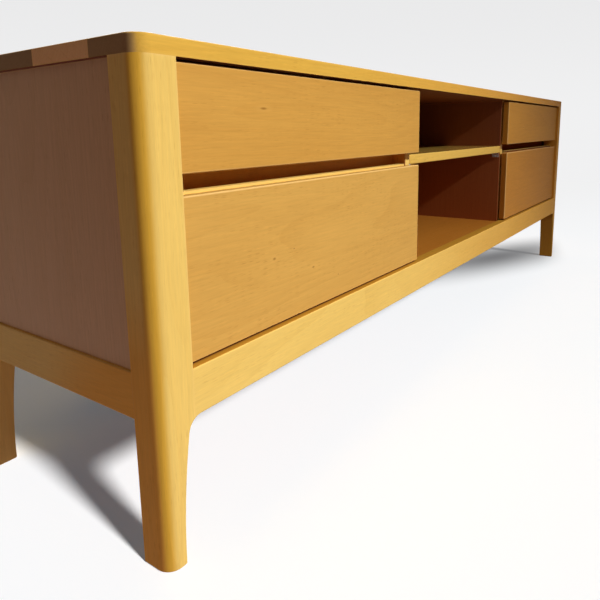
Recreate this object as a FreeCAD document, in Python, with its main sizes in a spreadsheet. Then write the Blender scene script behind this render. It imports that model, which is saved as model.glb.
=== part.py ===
import FreeCAD, Part
import math
import os
import re
import Sketcher

# A long, low stand: a board top on four legs, two drawers at each end and an open bay between them.
# X runs along the front, Y runs from front to back, Z is up; the origin is on the floor at the centre.

# Driving sizes in millimetres
SIZES = {
    # whole stand
    "overall_width": 1800,
    "overall_depth": 400,
    "overall_height": 550,
    "corner_radius": 18,
    "edge_easing": 2,
    # top board
    "top_thickness": 18,
    # legs, narrowing to the foot along an arc, with a rounded shoulder under the rail
    "leg_width": 47,
    "leg_depth": 42,
    "foot_width": 25,
    "leg_curve_radius": 820,
    "shoulder_radius": 18,
    # rails between the legs
    "rail_underside": 162,
    "rail_height": 54,
    "rail_thickness": 22,
    "side_rail_thickness": 20,
    "side_rail_setback": 6,
    "dowel_diameter": 8,
    "dowel_depth": 20,
    "dowel_spacing": 26,
    "dowel_clearance": 0.1,
    # panels of the carcass
    "side_panel_thickness": 12,
    "side_panel_setback": 9,
    "bottom_thickness": 18,
    "bottom_drop": 4,
    "back_thickness": 6,
    # open bay in the middle
    "bay_width": 560,
    "divider_thickness": 18,
    "divider_setback": 25,
    "shelf_thickness": 18,
    "shelf_side_clearance": 0.5,
    "shelf_rear_gap": 20,
    "support_width": 18,
    "support_height": 12,
    "support_reach": 10,
    "support_metal_thickness": 2,
    "support_inset": 12,
    "support_pin_diameter": 5,
    "support_pin_depth": 9,
    "support_pin_clearance": 0.1,
    # applied drawer fronts
    "front_recess": 6,
    "front_thickness": 15,
    "front_gap": 3,
    "finger_gap": 22,
    "upper_front_height": 110,
    # drawer boxes
    "box_side_thickness": 15,
    "box_end_thickness": 12,
    "box_lift": 12,
    "box_top_drop": 14,
    "lower_inner_front_rise": 3,
    "upper_inner_front_drop": 6,
    "box_rear_clearance": 31,
    "box_bottom_thickness": 6,
    "box_bottom_rise": 10,
    "groove_depth": 6,
    "groove_clearance": 0.2,
    "front_screw_diameter": 4,
    "front_screw_head_diameter": 8,
    "front_screw_head_height": 2.5,
    "front_screw_bite": 10,
    "front_screw_clearance": 0.2,
    "front_screw_margin": 24,
    # telescopic runners and the cleats behind the outer ones
    "runner_space_width": 13,
    "runner_height": 35,
    "runner_metal_thickness": 1.2,
    "runner_clearance": 0.4,
    "runner_lap": 9,
    "runner_setback": 4,
    "cleat_height": 50,
    # rails between the upper and lower drawers, behind the finger gaps
    "drawer_rail_setback": 52,
    "drawer_rail_thickness": 18,
    "drawer_rail_clearance": 3,
    # angle brackets under the top
    "bracket_leg": 20,
    "bracket_width": 30,
    "bracket_metal_thickness": 2,
    "bracket_inset": 80,
}

# Planes of the stand, worked out from the driving sizes
LEFT = "(-overall_width / 2)"
FRONT = "(-overall_depth / 2)"
BACK = "(overall_depth / 2)"
UNDER_TOP = "(overall_height - top_thickness)"
RAIL_TOP = "(rail_underside + rail_height)"
BAY_FLOOR = f"({RAIL_TOP} - bottom_drop)"
LEG_INNER = f"({LEFT} + leg_width)"
LEG_BACK = f"({FRONT} + leg_depth)"
SIDE_RAIL_INNER = f"({LEFT} + side_rail_setback + side_rail_thickness)"
SIDE_PANEL_OUTER = f"({LEFT} + side_panel_setback)"
SIDE_PANEL_INNER = f"({SIDE_PANEL_OUTER} + side_panel_thickness)"
BACK_PANEL_REAR = f"({BACK} - rail_thickness)"
BACK_PANEL_FRONT = f"({BACK_PANEL_REAR} - back_thickness)"
BAY_LEFT = "(-bay_width / 2)"
DIVIDER_OUTER = f"({BAY_LEFT} - divider_thickness)"
DIVIDER_FRONT = f"({FRONT} + divider_setback)"
FRONT_FACE = f"({FRONT} + front_recess)"
FRONT_REAR = f"({FRONT_FACE} + front_thickness)"
UPPER_TOP = f"({UNDER_TOP} - front_gap)"
UPPER_BOTTOM = f"({UPPER_TOP} - upper_front_height)"
LOWER_TOP = f"({UPPER_BOTTOM} - finger_gap)"
LOWER_BOTTOM = f"({RAIL_TOP} + front_gap)"
BOX_OUTER = f"({LEG_INNER} + runner_space_width)"
BOX_INNER = f"({DIVIDER_OUTER} - runner_space_width)"
BOX_BACK = f"({BACK_PANEL_FRONT} - box_rear_clearance)"
SHELF_REAR = f"({BACK_PANEL_FRONT} - shelf_rear_gap)"

doc = FreeCAD.newDocument("tv_stand")
sheet = doc.addObject("Spreadsheet::Sheet", "Sizes")
for row, (word, value) in enumerate(SIZES.items(), start=1):
    sheet.set(f"A{row}", word)
    sheet.set(f"B{row}", str(value))
    sheet.setAlias(f"B{row}", word)
doc.recompute()

subparts = []


def cells(text):
    """Point every size name in an expression at its cell in the sheet."""
    return re.sub(r"[a-z_]+", lambda match: "Sizes." + match.group(), text)


def bind(thing, **expressions):
    """Tie properties to the sheet; a double underscore stands for a dot."""
    for name, text in expressions.items():
        thing.setExpression(name.replace("__", "."), cells(text))


def keep(thing, label):
    """Name a finished piece of the stand."""
    thing.Label = label
    subparts.append(thing)
    return thing


def between(planes):
    """The distance from one plane to the other."""
    return f"({planes[1]}) - ({planes[0]})"


def widened(planes, clearance):
    """Two planes moved apart by a clearance at each side."""
    return (f"({planes[0]} - {clearance})", f"({planes[1]} + {clearance})")


def block(name, x, y, z):
    """A plain box between two planes on each axis."""
    box = doc.addObject("Part::Box", name)
    bind(box, Length=between(x), Width=between(y), Height=between(z))
    bind(box, Placement__Base__x=x[0], Placement__Base__y=y[0], Placement__Base__z=z[0])
    return box


def rod(name, start, axis, radius, length):
    """A cylinder from a start point along one axis."""
    cylinder = doc.addObject("Part::Cylinder", name)
    bind(cylinder, Radius=radius, Height=length)
    cylinder.Placement.Rotation = FreeCAD.Rotation(FreeCAD.Vector(0, 0, 1), FreeCAD.Vector(*axis))
    bind(cylinder, Placement__Base__x=start[0], Placement__Base__y=start[1], Placement__Base__z=start[2])
    return cylinder


def cut(name, base, *tools):
    """A piece with one or more tools taken out of it."""
    tool = tools[0] if len(tools) == 1 else group(name + "_tools", tools)
    result = doc.addObject("Part::Cut", name)
    result.Base = base
    result.Tool = tool
    return result


def group(name, things):
    """Several separate solids held as one piece."""
    compound = doc.addObject("Part::Compound", name)
    compound.Links = list(things)
    return compound


def fuse(name, things):
    """Several solids joined into one."""
    joined = doc.addObject("Part::MultiFuse", name)
    joined.Shapes = list(things)
    return joined


def mirrored(name, source, normal):
    """The same piece on the other side of the stand's middle plane."""
    mirror = doc.addObject("Part::Mirroring", name)
    mirror.Source = source
    mirror.Normal = normal
    return mirror


ACROSS = (1, 0, 0)
BACKWARDS = (0, 1, 0)
UPWARDS = (0, 0, 1)


def board(name, x, y, z, chosen):
    """A board between two planes on each axis, with the chosen edges eased."""
    body = doc.addObject("PartDesign::Body", name)
    blank = body.newObject("PartDesign::AdditiveBox", name + "_blank")
    bind(blank, Length=between(x), Width=between(y), Height=between(z))
    bind(body, Placement__Base__x=x[0], Placement__Base__y=y[0], Placement__Base__z=z[0])
    doc.recompute()
    ease(body, blank, chosen, "edge_easing")
    return body


def ease(body, feature, chosen, radius):
    """Round the chosen edges of the body's last feature."""
    picked = [f"Edge{number}" for number, edge in enumerate(feature.Shape.Edges, start=1) if chosen(edge)]
    rounding = body.newObject("PartDesign::Fillet", feature.Name + "_rounding")
    rounding.Base = (feature, picked)
    bind(rounding, Radius=radius)
    body.Tip = rounding
    doc.recompute()
    return rounding


# Closer than this counts as touching
NEAR = 0.01


def every(edge):
    """Any edge at all."""
    return True


def lies_along(edge, axis):
    """A straight edge that runs along one axis."""
    if not isinstance(edge.Curve, Part.Line):
        return False
    return abs(edge.Curve.Direction.dot(FreeCAD.Vector(*axis))) > 1 - NEAR


def upright(edge):
    """An edge that runs straight up."""
    return lies_along(edge, UPWARDS)


def level(edge):
    """An edge that lies in a horizontal plane."""
    return edge.BoundBox.ZLength < NEAR


def curved(edge):
    """An arc that rises, such as the edge of the leg's inner face."""
    return isinstance(edge.Curve, Part.Circle) and not level(edge)


# Top board: one wide board with rounded corners that follow the legs
top = doc.addObject("PartDesign::Body", "top_board")
top_blank = top.newObject("PartDesign::AdditiveBox", "top_blank")
bind(top_blank, Length="overall_width", Width="overall_depth", Height="top_thickness")
bind(top, Placement__Base__x=LEFT, Placement__Base__y=FRONT, Placement__Base__z=UNDER_TOP)
doc.recompute()
top_corners = ease(top, top_blank, upright, "corner_radius")
ease(top, top_corners, lambda edge: level(edge) and edge.BoundBox.ZMin > NEAR, "edge_easing")
keep(top, "top_panel")

# Dowels: two at each end of each rail, half in the rail and half in the leg
DOWEL_RADIUS = "dowel_diameter / 2"
SOCKET_RADIUS = "dowel_diameter / 2 + dowel_clearance"
DOWEL_LENGTH = "2 * dowel_depth"
SOCKET_LENGTH = "2 * dowel_depth + 2 * dowel_clearance"
FRONT_DOWEL_Y = f"({FRONT} + rail_thickness / 2)"
SIDE_DOWEL_X = f"({LEFT} + side_rail_setback + side_rail_thickness / 2)"
corner_dowels = []
corner_sockets = []
for place, side in (("low", "-"), ("high", "+")):
    dowel_z = f"(rail_underside + rail_height / 2 {side} dowel_spacing / 2)"
    along_x = (f"{LEG_INNER} - dowel_depth", FRONT_DOWEL_Y, dowel_z)
    along_y = (SIDE_DOWEL_X, f"{LEG_BACK} - dowel_depth", dowel_z)
    socket_x = (f"{LEG_INNER} - dowel_depth - dowel_clearance", FRONT_DOWEL_Y, dowel_z)
    socket_y = (SIDE_DOWEL_X, f"{LEG_BACK} - dowel_depth - dowel_clearance", dowel_z)
    corner_dowels.append(rod(f"front_dowel_{place}", along_x, ACROSS, DOWEL_RADIUS, DOWEL_LENGTH))
    corner_dowels.append(rod(f"side_dowel_{place}", along_y, BACKWARDS, DOWEL_RADIUS, DOWEL_LENGTH))
    corner_sockets.append(rod(f"front_socket_{place}", socket_x, ACROSS, SOCKET_RADIUS, SOCKET_LENGTH))
    corner_sockets.append(rod(f"side_socket_{place}", socket_y, BACKWARDS, SOCKET_RADIUS, SOCKET_LENGTH))


def at_four_corners(name, things):
    """A group of the given solids at the left front corner and at the other three corners."""
    front_left = group(name + "_front_left", things)
    front_right = mirrored(name + "_front_right", front_left, ACROSS)
    back_left = mirrored(name + "_back_left", front_left, BACKWARDS)
    back_right = mirrored(name + "_back_right", front_right, BACKWARDS)
    return group(name, [front_left, front_right, back_left, back_right])


keep(at_four_corners("dowels", corner_dowels), "rail_dowels")
sockets = at_four_corners("sockets", corner_sockets)


# How a sketch numbers the two ends of a line or arc, and its own horizontal axis
START_VERTEX_NUMBER = 1
END_VERTEX_NUMBER = 2
AXES_NUMBER = -1


def open_below_rail(body, blank):
    """Cut the space under the rail out of a body whose own origin is the stand's left front foot.

    The outline follows the leg's inner face: an arc that stands upright on the floor at the foot's
    width, then the smaller shoulder arc that meets the rail's underside, then the rail.
    """
    foot = SIZES["foot_width"]
    curve = SIZES["leg_curve_radius"]
    shoulder = SIZES["shoulder_radius"]
    underside = SIZES["rail_underside"]
    far = SIZES["overall_width"]
    apart = curve - shoulder
    shoulder_x = foot + curve - math.sqrt(apart ** 2 - (underside - shoulder) ** 2)
    lean = math.pi - math.asin((underside - shoulder) / apart)
    up = FreeCAD.Vector(0, 0, 1)
    foot_start = FreeCAD.Vector(foot, -shoulder, 0)
    foot_end = FreeCAD.Vector(foot, 0, 0)
    rail_start = FreeCAD.Vector(shoulder_x, underside, 0)
    rail_end = FreeCAD.Vector(far, underside, 0)
    low_end = FreeCAD.Vector(far, -shoulder, 0)
    curve_circle = Part.Circle(FreeCAD.Vector(foot + curve, 0, 0), up, curve)
    shoulder_circle = Part.Circle(FreeCAD.Vector(shoulder_x, underside - shoulder, 0), up, shoulder)

    sketch = body.newObject("Sketcher::SketchObject", body.Name + "_opening")
    plane = [feature for feature in body.Origin.OriginFeatures if feature.Role == "XZ_Plane"][0]
    sketch.AttachmentSupport = [(plane, "")]
    sketch.MapMode = "FlatFace"
    foot_line = sketch.addGeometry(Part.LineSegment(foot_start, foot_end))
    leg_arc = sketch.addGeometry(Part.ArcOfCircle(curve_circle, lean, math.pi))
    shoulder_arc = sketch.addGeometry(Part.ArcOfCircle(shoulder_circle, math.pi / 2, lean))
    rail_line = sketch.addGeometry(Part.LineSegment(rail_start, rail_end))
    far_line = sketch.addGeometry(Part.LineSegment(rail_end, low_end))
    low_line = sketch.addGeometry(Part.LineSegment(low_end, foot_start))
    first = START_VERTEX_NUMBER
    last = END_VERTEX_NUMBER
    zero = (AXES_NUMBER, START_VERTEX_NUMBER)
    sketch.addConstraint(Sketcher.Constraint("Tangent", foot_line, last, leg_arc, last))
    sketch.addConstraint(Sketcher.Constraint("Tangent", leg_arc, first, shoulder_arc, last))
    sketch.addConstraint(Sketcher.Constraint("Tangent", shoulder_arc, first, rail_line, first))
    sketch.addConstraint(Sketcher.Constraint("Coincident", rail_line, last, far_line, first))
    sketch.addConstraint(Sketcher.Constraint("Coincident", far_line, last, low_line, first))
    sketch.addConstraint(Sketcher.Constraint("Coincident", low_line, last, foot_line, first))
    sketch.addConstraint(Sketcher.Constraint("Vertical", foot_line))
    sketch.addConstraint(Sketcher.Constraint("Horizontal", rail_line))
    sketch.addConstraint(Sketcher.Constraint("Vertical", far_line))
    sketch.addConstraint(Sketcher.Constraint("Horizontal", low_line))
    sketch.addConstraint(Sketcher.Constraint("PointOnObject", foot_line, last, AXES_NUMBER))
    measures = [
        ("foot", Sketcher.Constraint("DistanceX", *zero, foot_line, last, foot), "foot_width"),
        ("curve", Sketcher.Constraint("Radius", leg_arc, curve), "leg_curve_radius"),
        ("shoulder", Sketcher.Constraint("Radius", shoulder_arc, shoulder), "shoulder_radius"),
        ("rail", Sketcher.Constraint("DistanceY", *zero, rail_line, last, underside), "rail_underside"),
        ("far", Sketcher.Constraint("DistanceX", *zero, rail_line, last, far), "overall_width"),
        ("low", Sketcher.Constraint("DistanceY", low_line, last, *zero, shoulder), "shoulder_radius"),
    ]
    for word, constraint, text in measures:
        index = sketch.addConstraint(constraint)
        sketch.renameConstraint(index, word)
        sketch.setExpression("Constraints." + word, cells(text))
    doc.recompute()

    opening = body.newObject("PartDesign::Pocket", body.Name + "_pocket")
    opening.Profile = sketch
    opening.Type = "ThroughAll"
    opening.SideType = "Symmetric"
    body.Tip = opening
    doc.recompute()
    assert opening.Shape.Volume < blank.Shape.Volume, body.Name
    return opening


# Legs: one solid post each, rounded on the outer corner and narrowing to the foot on the inner face
leg = doc.addObject("PartDesign::Body", "leg")
leg_blank = leg.newObject("PartDesign::AdditiveBox", "leg_blank")
bind(leg_blank, Length="leg_width", Width="leg_depth", Height=UNDER_TOP)
bind(leg, Placement__Base__x=LEFT, Placement__Base__y=FRONT)
doc.recompute()


def on_outer_face(edge):
    """An upright edge of the leg's outer face."""
    return upright(edge) and edge.BoundBox.XMax < NEAR


def on_front_face(edge):
    """An edge that lies in the leg's front face."""
    return edge.BoundBox.YMax < NEAR


def underfoot(edge):
    """An edge that lies on the floor."""
    return level(edge) and edge.BoundBox.ZMax < NEAR


def behind_rounding(edge):
    """An edge further back than the rounded outer corner."""
    return edge.BoundBox.YMin > SIZES["corner_radius"] + NEAR


def leg_edge_to_ease(edge):
    """The edges round the foot, along the curved inner face and at the back of the outer face."""
    return underfoot(edge) or curved(edge) or (on_outer_face(edge) and behind_rounding(edge))


leg_outer = ease(leg, leg_blank, lambda edge: on_outer_face(edge) and on_front_face(edge), "corner_radius")
leg_opening = open_below_rail(leg, leg_outer)
ease(leg, leg_opening, leg_edge_to_ease, "edge_easing")
leg_front_left = keep(cut("leg_drilled", leg, sockets), "leg_front_left")
leg_front_right = keep(mirrored("leg_across", leg_front_left, ACROSS), "leg_front_right")
keep(mirrored("leg_behind", leg_front_left, BACKWARDS), "leg_back_left")
keep(mirrored("leg_opposite", leg_front_right, BACKWARDS), "leg_back_right")

# Front and back rails: flush with the legs, with an ear at each end that finishes the leg's shoulder
rail = doc.addObject("PartDesign::Body", "rail")
rail_blank = rail.newObject("PartDesign::AdditiveBox", "rail_blank")
bind(rail_blank, Length="overall_width - 2 * leg_width", Width="rail_thickness")
bind(rail_blank, Height="rail_height + shoulder_radius", Placement__Base__x="leg_width")
bind(rail_blank, Placement__Base__z="rail_underside - shoulder_radius")
bind(rail, Placement__Base__x=LEFT, Placement__Base__y=FRONT)
doc.recompute()
rail_opening = open_below_rail(rail, rail_blank)
ease(rail, rail_opening, lambda edge: lies_along(edge, ACROSS), "edge_easing")
rail_left_half = block("rail_left_half", (LEFT, "0"), (FRONT, f"{FRONT} + rail_thickness"), ("0", RAIL_TOP))
rail_half = doc.addObject("Part::Common", "rail_half")
rail_half.Base = rail
rail_half.Tool = rail_left_half
rail_whole = fuse("rail_whole", [rail_half, mirrored("rail_other_half", rail_half, ACROSS)])
rail_whole.Refine = True
front_rail = keep(cut("rail_drilled", rail_whole, sockets), "front_rail")
keep(mirrored("rail_behind", front_rail, BACKWARDS), "back_rail")

# Side rails and side panels: set back from the legs' outer faces, the panel standing on the rail
LEGS_APART = (LEG_BACK, f"({BACK} - leg_depth)")
side_rail = board("side_rail", (f"({LEFT} + side_rail_setback)", SIDE_RAIL_INNER), LEGS_APART,
                  ("rail_underside", RAIL_TOP), lambda edge: lies_along(edge, BACKWARDS))
side_rail_left = keep(cut("side_rail_drilled", side_rail, sockets), "side_rail_left")
keep(mirrored("side_rail_across", side_rail_left, ACROSS), "side_rail_right")
side_panel = block("side_panel", (SIDE_PANEL_OUTER, SIDE_PANEL_INNER), LEGS_APART, (RAIL_TOP, UNDER_TOP))
keep(side_panel, "side_panel_left")
keep(mirrored("side_panel_across", side_panel, ACROSS), "side_panel_right")

# Bottom panel: held between the four rails, notched round the legs
BETWEEN_RAILS = (f"({FRONT} + rail_thickness)", BACK_PANEL_REAR)
BOTTOM_LEVELS = (f"({BAY_FLOOR} - bottom_thickness)", BAY_FLOOR)
bottom_blank = block("bottom_blank", (SIDE_RAIL_INNER, f"(-{SIDE_RAIL_INNER})"), BETWEEN_RAILS, BOTTOM_LEVELS)
notch = block("notch", (LEFT, LEG_INNER), (FRONT, LEG_BACK), BOTTOM_LEVELS)
keep(cut("bottom_notched", bottom_blank, at_four_corners("notches", [notch])), "bottom_panel")

# Back panel: a thin board against the back rail, between the back legs
keep(block("back_board", (LEG_INNER, f"(-{LEG_INNER})"), (BACK_PANEL_FRONT, BACK_PANEL_REAR),
           (BAY_FLOOR, UNDER_TOP)), "back_panel")

# Shelf supports: metal angles on pins that stand in the dividers
SHELF_LEFT = f"({BAY_LEFT} + shelf_side_clearance)"
SUPPORT_TOP = LOWER_TOP
front_support_y = f"({DIVIDER_FRONT} + support_inset)"
rear_support_y = f"({SHELF_REAR} - support_inset)"
left_supports = []
pin_holes = []
for place, middle in (("front", front_support_y), ("rear", rear_support_y)):
    across = (f"({middle} - support_width / 2)", f"({middle} + support_width / 2)")
    plate = block(f"{place}_plate", (BAY_LEFT, f"{BAY_LEFT} + support_metal_thickness"), across,
                  (f"({SUPPORT_TOP} - support_height)", SUPPORT_TOP))
    ledge = block(f"{place}_ledge", (BAY_LEFT, f"{BAY_LEFT} + support_reach"), across,
                  (f"({SUPPORT_TOP} - support_metal_thickness)", SUPPORT_TOP))
    pin_z = f"({SUPPORT_TOP} - support_height / 2)"
    pin = rod(f"{place}_pin", (f"{BAY_LEFT} - support_pin_depth", middle, pin_z), ACROSS,
              "support_pin_diameter / 2", "support_pin_depth + support_metal_thickness / 2")
    left_supports.append(fuse(f"{place}_support", [plate, ledge, pin]))
    pin_holes.append(rod(f"{place}_pin_hole",
                         (f"{BAY_LEFT} - support_pin_depth - support_pin_clearance", middle, pin_z), ACROSS,
                         "support_pin_diameter / 2 + support_pin_clearance",
                         "support_pin_depth + 2 * support_pin_clearance"))
left_support_pair = group("left_supports", left_supports)
keep(group("supports", [left_support_pair, mirrored("right_supports", left_support_pair, ACROSS)]),
     "shelf_supports")

# Dividers: upright boards beside the bay, drilled for the shelf supports
divider = board("divider_board", (DIVIDER_OUTER, BAY_LEFT), (DIVIDER_FRONT, BACK_PANEL_FRONT),
                (BAY_FLOOR, UNDER_TOP), lambda edge: upright(edge) and edge.BoundBox.YMax < NEAR)
divider_left = keep(cut("divider_drilled", divider, *pin_holes), "divider_left")
keep(mirrored("divider_across", divider_left, ACROSS), "divider_right")

# Bay shelf: level with the gap between the drawer fronts, lying on the four supports
keep(board("shelf", (SHELF_LEFT, f"(-{SHELF_LEFT})"), (DIVIDER_FRONT, SHELF_REAR),
           (LOWER_TOP, f"({LOWER_TOP} + shelf_thickness)"), every), "centre_shelf")

# Angle brackets: hold the top board to the side panels and dividers, on the drawers' side
left_brackets = []
bracket_walls = (("side", SIDE_PANEL_INNER, "+"), ("divider", DIVIDER_OUTER, "-"))
bracket_places = (("front", f"({LEGS_APART[0]} + bracket_inset)"),
                  ("rear", f"({LEGS_APART[1]} - bracket_inset)"))


def away(wall, sign, distance):
    """The two planes of a slab that starts at a wall and grows to the left or right."""
    ends = [wall, f"({wall} {sign} {distance})"]
    return tuple(ends if sign == "+" else ends[::-1])


for wall_name, wall, sign in bracket_walls:
    for place, middle in bracket_places:
        across = (f"({middle} - bracket_width / 2)", f"({middle} + bracket_width / 2)")
        hanging = block(f"{wall_name}_{place}_hanging", away(wall, sign, "bracket_metal_thickness"), across,
                        (f"({UNDER_TOP} - bracket_leg)", UNDER_TOP))
        lying = block(f"{wall_name}_{place}_lying", away(wall, sign, "bracket_leg"), across,
                      (f"({UNDER_TOP} - bracket_metal_thickness)", UNDER_TOP))
        left_brackets.append(fuse(f"{wall_name}_{place}_bracket", [hanging, lying]))
left_bracket_group = group("left_brackets", left_brackets)
keep(group("brackets", [left_bracket_group, mirrored("right_brackets", left_bracket_group, ACROSS)]),
     "top_brackets")

# Drawers: an upper and a lower one at each end, the right pair mirrored from the left pair
INNER_FRONT_REAR = f"({FRONT_REAR} + box_end_thickness)"
BOX_BACK_FRONT = f"({BOX_BACK} - box_end_thickness)"
SIDE_OUTER_INSIDE = f"({BOX_OUTER} + box_side_thickness)"
SIDE_INNER_INSIDE = f"({BOX_INNER} - box_side_thickness)"
RUNNER_ENDS = (f"({INNER_FRONT_REAR} + runner_setback)", f"({BOX_BACK} - runner_setback)")
BETWEEN_SIDES = (SIDE_OUTER_INSIDE, SIDE_INNER_INSIDE)
FRONT_OUTER_END = f"({LEG_INNER} + front_gap)"


def channel(name, web, arms, height, middle):
    """A runner member: a web with two arms, open to one side."""
    half = f"({height} / 2)"
    arm_low = (f"({middle} - {half})", f"({middle} - {half} + runner_metal_thickness)")
    arm_high = (f"({middle} + {half} - runner_metal_thickness)", f"({middle} + {half})")
    plate = block(name + "_web", web, RUNNER_ENDS, (f"({middle} - {half})", f"({middle} + {half})"))
    lower_arm = block(name + "_lower_arm", arms, RUNNER_ENDS, arm_low)
    upper_arm = block(name + "_upper_arm", arms, RUNNER_ENDS, arm_high)
    return fuse(name, [plate, lower_arm, upper_arm])


def runner_pair(name, middle):
    """Cabinet, middle and drawer members at both sides of a drawer box, nested with a small clearance."""
    nest = "runner_metal_thickness + runner_clearance"
    members = {"cabinet": [], "middle": [], "drawer": []}
    for side, wall, sign in (("outer", LEG_INNER, "+"), ("inner", DIVIDER_OUTER, "-")):
        def span(near, far):
            """The planes at two distances from the wall, in rising order."""
            ends = [f"({wall} {sign} ({near}))", f"({wall} {sign} ({far}))"]
            return tuple(ends if sign == "+" else ends[::-1])

        tag = f"{name}_{side}"
        members["cabinet"].append(channel(
            tag + "_cabinet", span("0", "runner_metal_thickness"), span("0", "runner_lap"),
            "runner_height", middle))
        members["middle"].append(channel(
            tag + "_middle", span(nest, f"{nest} + runner_metal_thickness"),
            span(nest, f"runner_space_width - {nest}"), f"(runner_height - 2 * ({nest}))", middle))
        members["drawer"].append(channel(
            tag + "_drawer", span("runner_space_width - runner_metal_thickness", "runner_space_width"),
            span(f"2 * ({nest})", "runner_space_width"), f"(runner_height - 4 * ({nest}))", middle))
    return members


cabinet_runners = []
cleats = []
for level_name, low, high, inner_top in (
        ("upper", UPPER_BOTTOM, UPPER_TOP, f"({UPPER_TOP} - upper_inner_front_drop)"),
        ("lower", LOWER_BOTTOM, LOWER_TOP, f"({LOWER_TOP} + lower_inner_front_rise)")):
    box_low = f"({low} + box_lift)"
    box_high = f"({high} - box_top_drop)"
    runner_middle = f"(({box_low} + {box_high}) / 2)"
    bottom_low = f"({box_low} + box_bottom_rise)"
    bottom_high = f"({bottom_low} + box_bottom_thickness)"
    tag = f"{level_name}_left"

    # Screws through the inner front into the applied front, one near each corner
    screws = []
    clear_holes = []
    pilot_holes = []
    screw_rows = (("low", f"({box_low} + box_bottom_rise + front_screw_margin)"),
                  ("high", f"({inner_top} - front_screw_margin)"))
    screw_columns = (("outer", f"({SIDE_OUTER_INSIDE} + front_screw_margin)"),
                     ("inner", f"({SIDE_INNER_INSIDE} - front_screw_margin)"))
    for row_name, screw_z in screw_rows:
        for column_name, screw_x in screw_columns:
            screw_tag = f"{tag}_screw_{row_name}_{column_name}"
            tip = f"({FRONT_REAR} - front_screw_bite)"
            shank = rod(screw_tag + "_shank", (screw_x, tip, screw_z), BACKWARDS,
                        "front_screw_diameter / 2", "front_screw_bite + box_end_thickness")
            head = rod(screw_tag + "_head", (screw_x, INNER_FRONT_REAR, screw_z), BACKWARDS,
                       "front_screw_head_diameter / 2", "front_screw_head_height")
            screws.append(fuse(screw_tag, [shank, head]))
            clear_holes.append(rod(screw_tag + "_clear", (screw_x, FRONT_REAR, screw_z), BACKWARDS,
                                   "front_screw_diameter / 2 + front_screw_clearance", "box_end_thickness"))
            pilot_holes.append(rod(screw_tag + "_pilot", (screw_x, f"{tip} - front_screw_clearance", screw_z),
                                   BACKWARDS, "front_screw_diameter / 2 + front_screw_clearance",
                                   "front_screw_bite + front_screw_clearance"))

    # Applied front, set back from the legs and flush with the bay at its inner end
    front = board(tag + "_face", (FRONT_OUTER_END, BAY_LEFT), (FRONT_FACE, FRONT_REAR),
                  (low, high), every)

    # Box: the inner front covers the sides' ends and the outer runner, and the bottom lies in grooves all round
    bottom_sides = (f"({SIDE_OUTER_INSIDE} - groove_depth)", f"({SIDE_INNER_INSIDE} + groove_depth)")
    bottom_ends = (f"({INNER_FRONT_REAR} - groove_depth)", f"({BOX_BACK_FRONT} + groove_depth)")
    bottom_levels = (bottom_low, bottom_high)
    groove = block(tag + "_groove", *[widened(planes, "groove_clearance")
                                      for planes in (bottom_sides, bottom_ends, bottom_levels)])
    wall_ends = (INNER_FRONT_REAR, BOX_BACK)
    wall_levels = (box_low, box_high)
    inner_front = block(tag + "_inner_face", (FRONT_OUTER_END, BOX_INNER), (FRONT_REAR, INNER_FRONT_REAR),
                        (box_low, inner_top))
    outer_side = block(tag + "_outer_wall", (BOX_OUTER, SIDE_OUTER_INSIDE), wall_ends, wall_levels)
    inner_side = block(tag + "_inner_wall", (SIDE_INNER_INSIDE, BOX_INNER), wall_ends, wall_levels)
    rear = block(tag + "_rear_wall", BETWEEN_SIDES, (BOX_BACK_FRONT, BOX_BACK), wall_levels)
    runners = runner_pair(tag, runner_middle)
    pieces = {
        "front": cut(tag + "_front_drilled", front, *pilot_holes),
        "inner_front": cut(tag + "_inner_front_drilled", inner_front, groove, *clear_holes),
        "outer_side": cut(tag + "_outer_side_grooved", outer_side, groove),
        "inner_side": cut(tag + "_inner_side_grooved", inner_side, groove),
        "back": cut(tag + "_back_grooved", rear, groove),
        "bottom": block(tag + "_floor", bottom_sides, bottom_ends, bottom_levels),
        "front_screws": group(tag + "_screw_set", screws),
        "drawer_runners": group(tag + "_drawer_members", runners["drawer"]),
        "middle_runners": group(tag + "_middle_members", runners["middle"]),
    }
    for piece_name, piece in pieces.items():
        right_name = f"{level_name}_right_{piece_name}"
        keep(piece, f"{level_name}_left_{piece_name}")
        keep(mirrored(right_name + "_copy", piece, ACROSS), right_name)
    cabinet_runners += runners["cabinet"]
    cleats.append(block(tag + "_cleat", (SIDE_PANEL_INNER, LEG_INNER), LEGS_APART,
                        (f"({runner_middle} - cleat_height / 2)", f"({runner_middle} + cleat_height / 2)")))

# Members and cleats that stay with the carcass
left_runners = keep(group("cabinet_members", cabinet_runners), "left_cabinet_runners")
keep(mirrored("cabinet_members_across", left_runners, ACROSS), "right_cabinet_runners")
left_cleats = keep(group("cleat_pair", cleats), "left_runner_cleats")
keep(mirrored("cleat_pair_across", left_cleats, ACROSS), "right_runner_cleats")

# Drawer rails: across each end from the side panel to the divider, between the sides of the two drawer boxes
DRAWER_RAIL_FRONT = f"({FRONT} + drawer_rail_setback)"
drawer_rail = block("drawer_rail", (SIDE_PANEL_INNER, DIVIDER_OUTER),
                    (DRAWER_RAIL_FRONT, f"({DRAWER_RAIL_FRONT} + drawer_rail_thickness)"),
                    (f"({LOWER_TOP} - box_top_drop + drawer_rail_clearance)",
                     f"({UPPER_BOTTOM} + box_lift - drawer_rail_clearance)"))
keep(drawer_rail, "drawer_rail_left")
keep(mirrored("drawer_rail_across", drawer_rail, ACROSS), "drawer_rail_right")

# Build, test and write every piece
doc.recompute()
for thing in doc.Objects:
    assert "Invalid" not in thing.State and "Error" not in thing.State, thing.Name
for piece in subparts:
    assert not piece.Shape.isNull() and piece.Shape.isValid(), piece.Label
os.makedirs("parts", exist_ok=True)
for piece in subparts:
    piece.Shape.exportStep(f"parts/{piece.Label}.step")
print(len(subparts), "pieces")
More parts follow.
